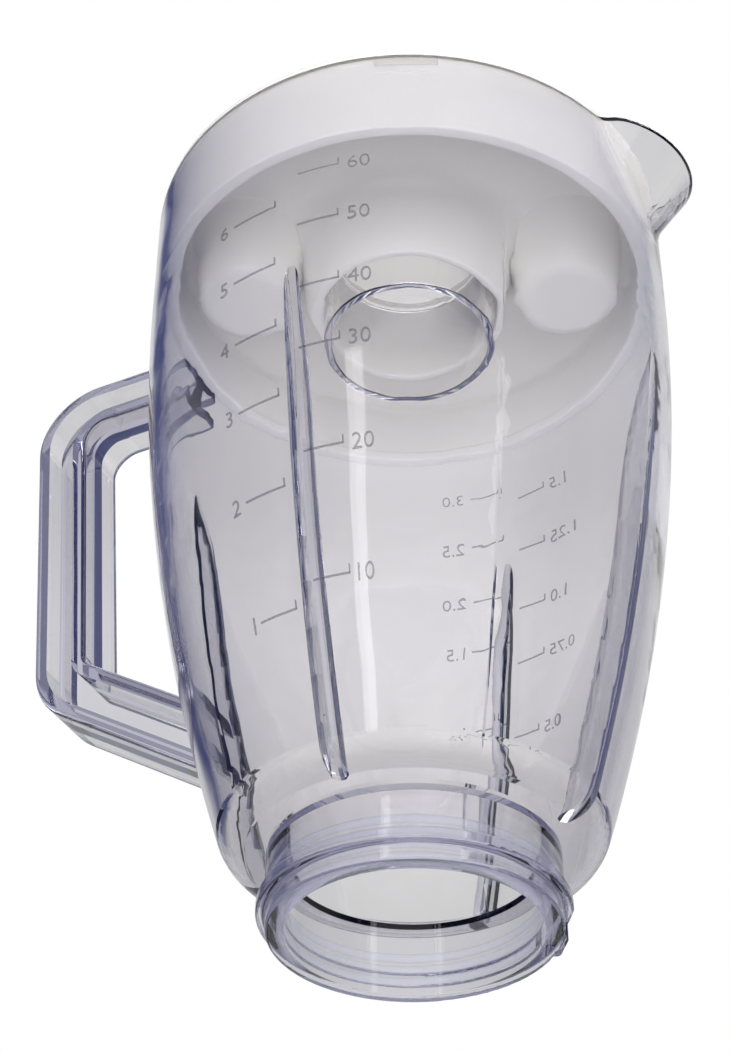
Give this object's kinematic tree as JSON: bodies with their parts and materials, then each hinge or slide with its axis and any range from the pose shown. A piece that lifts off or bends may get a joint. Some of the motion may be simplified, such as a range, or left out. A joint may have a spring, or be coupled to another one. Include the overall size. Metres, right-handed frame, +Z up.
{
  "type": "blender jar",
  "caption": "Clear plastic blender jar with a loop handle, pouring spout, inner ribs and a threaded collar, closed by a white push-in lid with a clear filler cap.",
  "frame": {"origin": "on the jar's axis at the lower face of its threaded collar, on which it stands", "axes": "+Z up along the jar's axis, +X towards the pouring spout, -X towards the handle"},
  "size_m": [0.1933, 0.138, 0.2158],
  "materials": {
    "jar_clear_plastic": "polished clear",
    "lid_white_plastic": "fine satin, slightly translucent",
    "cap_clear_plastic": "polished clear"
  },
  "bodies": {
    "root": {"jar": "jar_clear_plastic", "lid": "lid_white_plastic", "filler_cap": "cap_clear_plastic"}
  },
  "joints": []
}
